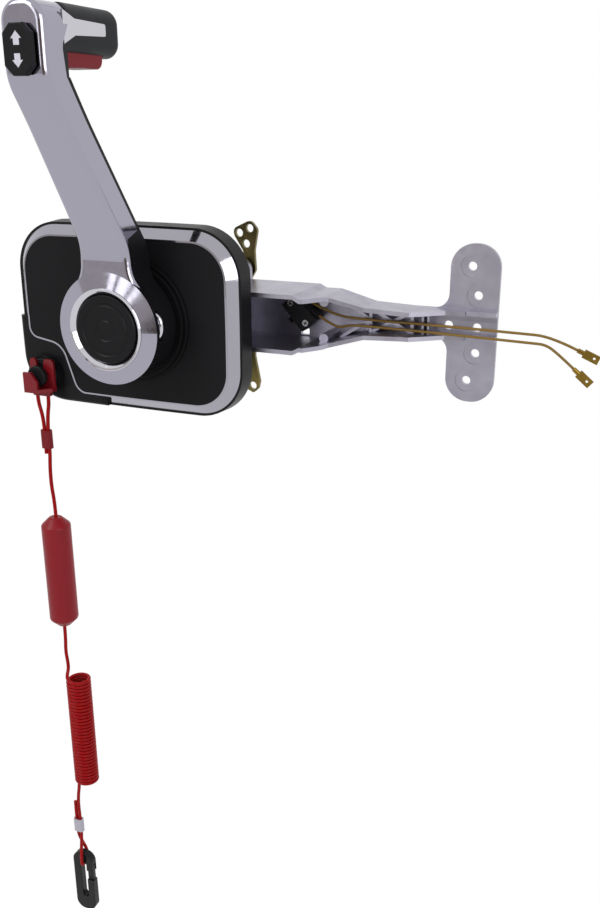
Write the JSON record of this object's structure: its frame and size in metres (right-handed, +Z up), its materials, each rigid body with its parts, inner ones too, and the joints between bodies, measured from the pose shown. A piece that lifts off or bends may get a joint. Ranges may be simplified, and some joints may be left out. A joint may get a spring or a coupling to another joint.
{
  "type": "boat throttle control lever",
  "caption": "Side mount boat engine control: chrome lever on a black panel, gear case, cable anchor arm, neutral switch, and emergency stop switch with its coiled lanyard.",
  "frame": {"origin": "where the lever's pivot axis meets the mounting plane, at the centre of the four mounting screws", "axes": "+X along the boat towards the cable anchor arm, +Y into the boat's side, +Z up"},
  "size_m": [0.4348, 0.2007, 0.7845],
  "materials": {
    "foam": "closed cell foam",
    "black_plastic": "satin moulded",
    "face_plastic": "fine grain",
    "chrome": "polished plate",
    "cast_aluminium": "die cast",
    "gold_zinc": "yellow zinc plated",
    "brass_plate": "tinned brass",
    "white_plastic": "moulded",
    "steel": "plated",
    "bronze": "sintered",
    "switch_plastic": "moulded",
    "wire": "insulation",
    "hub_disc": "turned rings",
    "grip_rubber": "soft moulded",
    "red_plastic": "moulded",
    "rocker_rubber": "soft",
    "stop_cap": "moulded",
    "red_cord": "braided",
    "red_coil": "extruded",
    "red_foam": "foam",
    "sleeve_plastic": "shrink sleeve"
  },
  "bodies": {
    "mount_base": {"panel_gasket": "foam", "panel_housing": "black_plastic", "chrome_bezel": "chrome", "face_panel": "face_plastic", "pivot_escutcheon": "black_plastic", "mounting_plate": "cast_aluminium", "housing_screws": "steel", "mechanism_case": "cast_aluminium", "case_screws": "steel", "shaft_bushings": "bronze", "detent_roller": "steel", "detent_spring": "steel", "arm_bracket": "cast_aluminium", "bracket_screws": "steel", "neutral_switch": "switch_plastic", "switch_screws": "steel", "switch_lead_upper": "wire", "switch_lead_lower": "wire", "lead_terminals": "brass_plate", "stop_switch": "black_plastic", "stop_switch_nut": "black_plastic"},
    "control_lever": {"main_shaft": "steel", "drive_pinion": "steel", "detent_wheel": "steel", "lever_arm": "chrome", "lever_back_cover": "black_plastic", "hub_ring": "chrome", "hub_cap": "hub_disc", "hub_bolt": "steel", "back_cover_screws": "steel", "handle_core": "cast_aluminium", "head_cover": "chrome", "grip": "grip_rubber", "grip_inlays": "chrome", "trim_switch_housing": "black_plastic", "trigger_spring": "steel", "button_spring": "steel"},
    "shift_output": {"shift_sector": "steel", "shift_shaft": "steel", "shift_arm": "gold_zinc"},
    "throttle_output": {"throttle_sector": "steel", "throttle_shaft": "steel", "throttle_arm": "gold_zinc"},
    "neutral_lock": {"trigger": "red_plastic"},
    "lock_pin": {"lock_rod": "steel"},
    "trim_button": {"trim_rocker": "rocker_rubber"},
    "warm_up_button": {"throttle_button": "chrome"},
    "stop_plunger": {"stop_button": "stop_cap"},
    "lanyard": {"stop_clip": "red_plastic", "lanyard_cord_upper": "red_cord", "lanyard_tail": "red_cord", "lanyard_sleeve": "sleeve_plastic", "lanyard_float": "red_foam", "lanyard_cord_lower": "red_cord", "lanyard_coil": "red_coil", "hook_cord": "red_cord", "lanyard_ferrule": "white_plastic", "snap_hook": "black_plastic"},
    "hook_gate": {"snap_gate": "black_plastic"},
    "neutral_plunger": {"switch_plunger": "switch_plastic"}
  },
  "joints": [
    {"name": "lever_pivot", "type": "hinge", "parent": "mount_base", "child": "control_lever", "pos_m": [0, 0, 0], "axis": [0, -1, 0], "range_deg": [-65, 90]},
    {"name": "shift_pivot", "type": "hinge", "parent": "mount_base", "child": "shift_output", "pos_m": [0.03061, 0.06, 0.01697], "axis": [0, -1, 0], "range_deg": [-30.2, 21.9]},
    {"name": "throttle_pivot", "type": "hinge", "parent": "mount_base", "child": "throttle_output", "pos_m": [0.03061, 0.06, -0.01697], "axis": [0, -1, 0], "range_deg": [-30.2, 21.9]},
    {"name": "trigger_lift", "type": "slide", "parent": "control_lever", "child": "neutral_lock", "axis": [0, 0, 1], "range_m": [0, 0.006], "stiffness_N_per_m": 300, "springref_m": -0.002, "deforming": ["trigger_spring"]},
    {"name": "lock_rod_slide", "type": "slide", "parent": "control_lever", "child": "lock_pin", "axis": [0, -0.549, 0.8358], "range_m": [0, 0.006]},
    {"name": "trim_rock", "type": "hinge", "parent": "control_lever", "child": "trim_button", "pos_m": [0, -0.124, 0.1793], "axis": [1, 0, 0], "range_deg": [-4, 4], "stiffness_Nm_per_rad": 0.4},
    {"name": "throttle_button_press", "type": "slide", "parent": "control_lever", "child": "warm_up_button", "axis": [-1, 0, 0], "range_m": [0, 0.002], "stiffness_N_per_m": 400, "springref_m": -0.001},
    {"name": "stop_press", "type": "slide", "parent": "mount_base", "child": "stop_plunger", "axis": [0, 1, 0], "range_m": [0, 0.0022], "stiffness_N_per_m": 400, "springref_m": -0.001},
    {"name": "clip_pull", "type": "slide", "parent": "mount_base", "child": "lanyard", "axis": [0, 0, -1], "range_m": [0, 0.03]},
    {"name": "gate_swing", "type": "hinge", "parent": "lanyard", "child": "hook_gate", "pos_m": [-0.0768, -0.031, -0.5255], "axis": [0, 1, 0], "range_deg": [0, 14], "stiffness_Nm_per_rad": 0.02, "springref_deg": -11.46},
    {"name": "neutral_plunge", "type": "slide", "parent": "mount_base", "child": "neutral_plunger", "axis": [0.7604, 0, 0.6494], "range_m": [0, 0.0015], "stiffness_N_per_m": 300, "springref_m": -0.001}
  ],
  "couplings": [
    {"joint": "shift_pivot", "follows": "lever_pivot", "ratio": -0.33333},
    {"joint": "throttle_pivot", "follows": "lever_pivot", "ratio": -0.33333},
    {"joint": "lock_rod_slide", "follows": "trigger_lift", "ratio": 1}
  ]
}
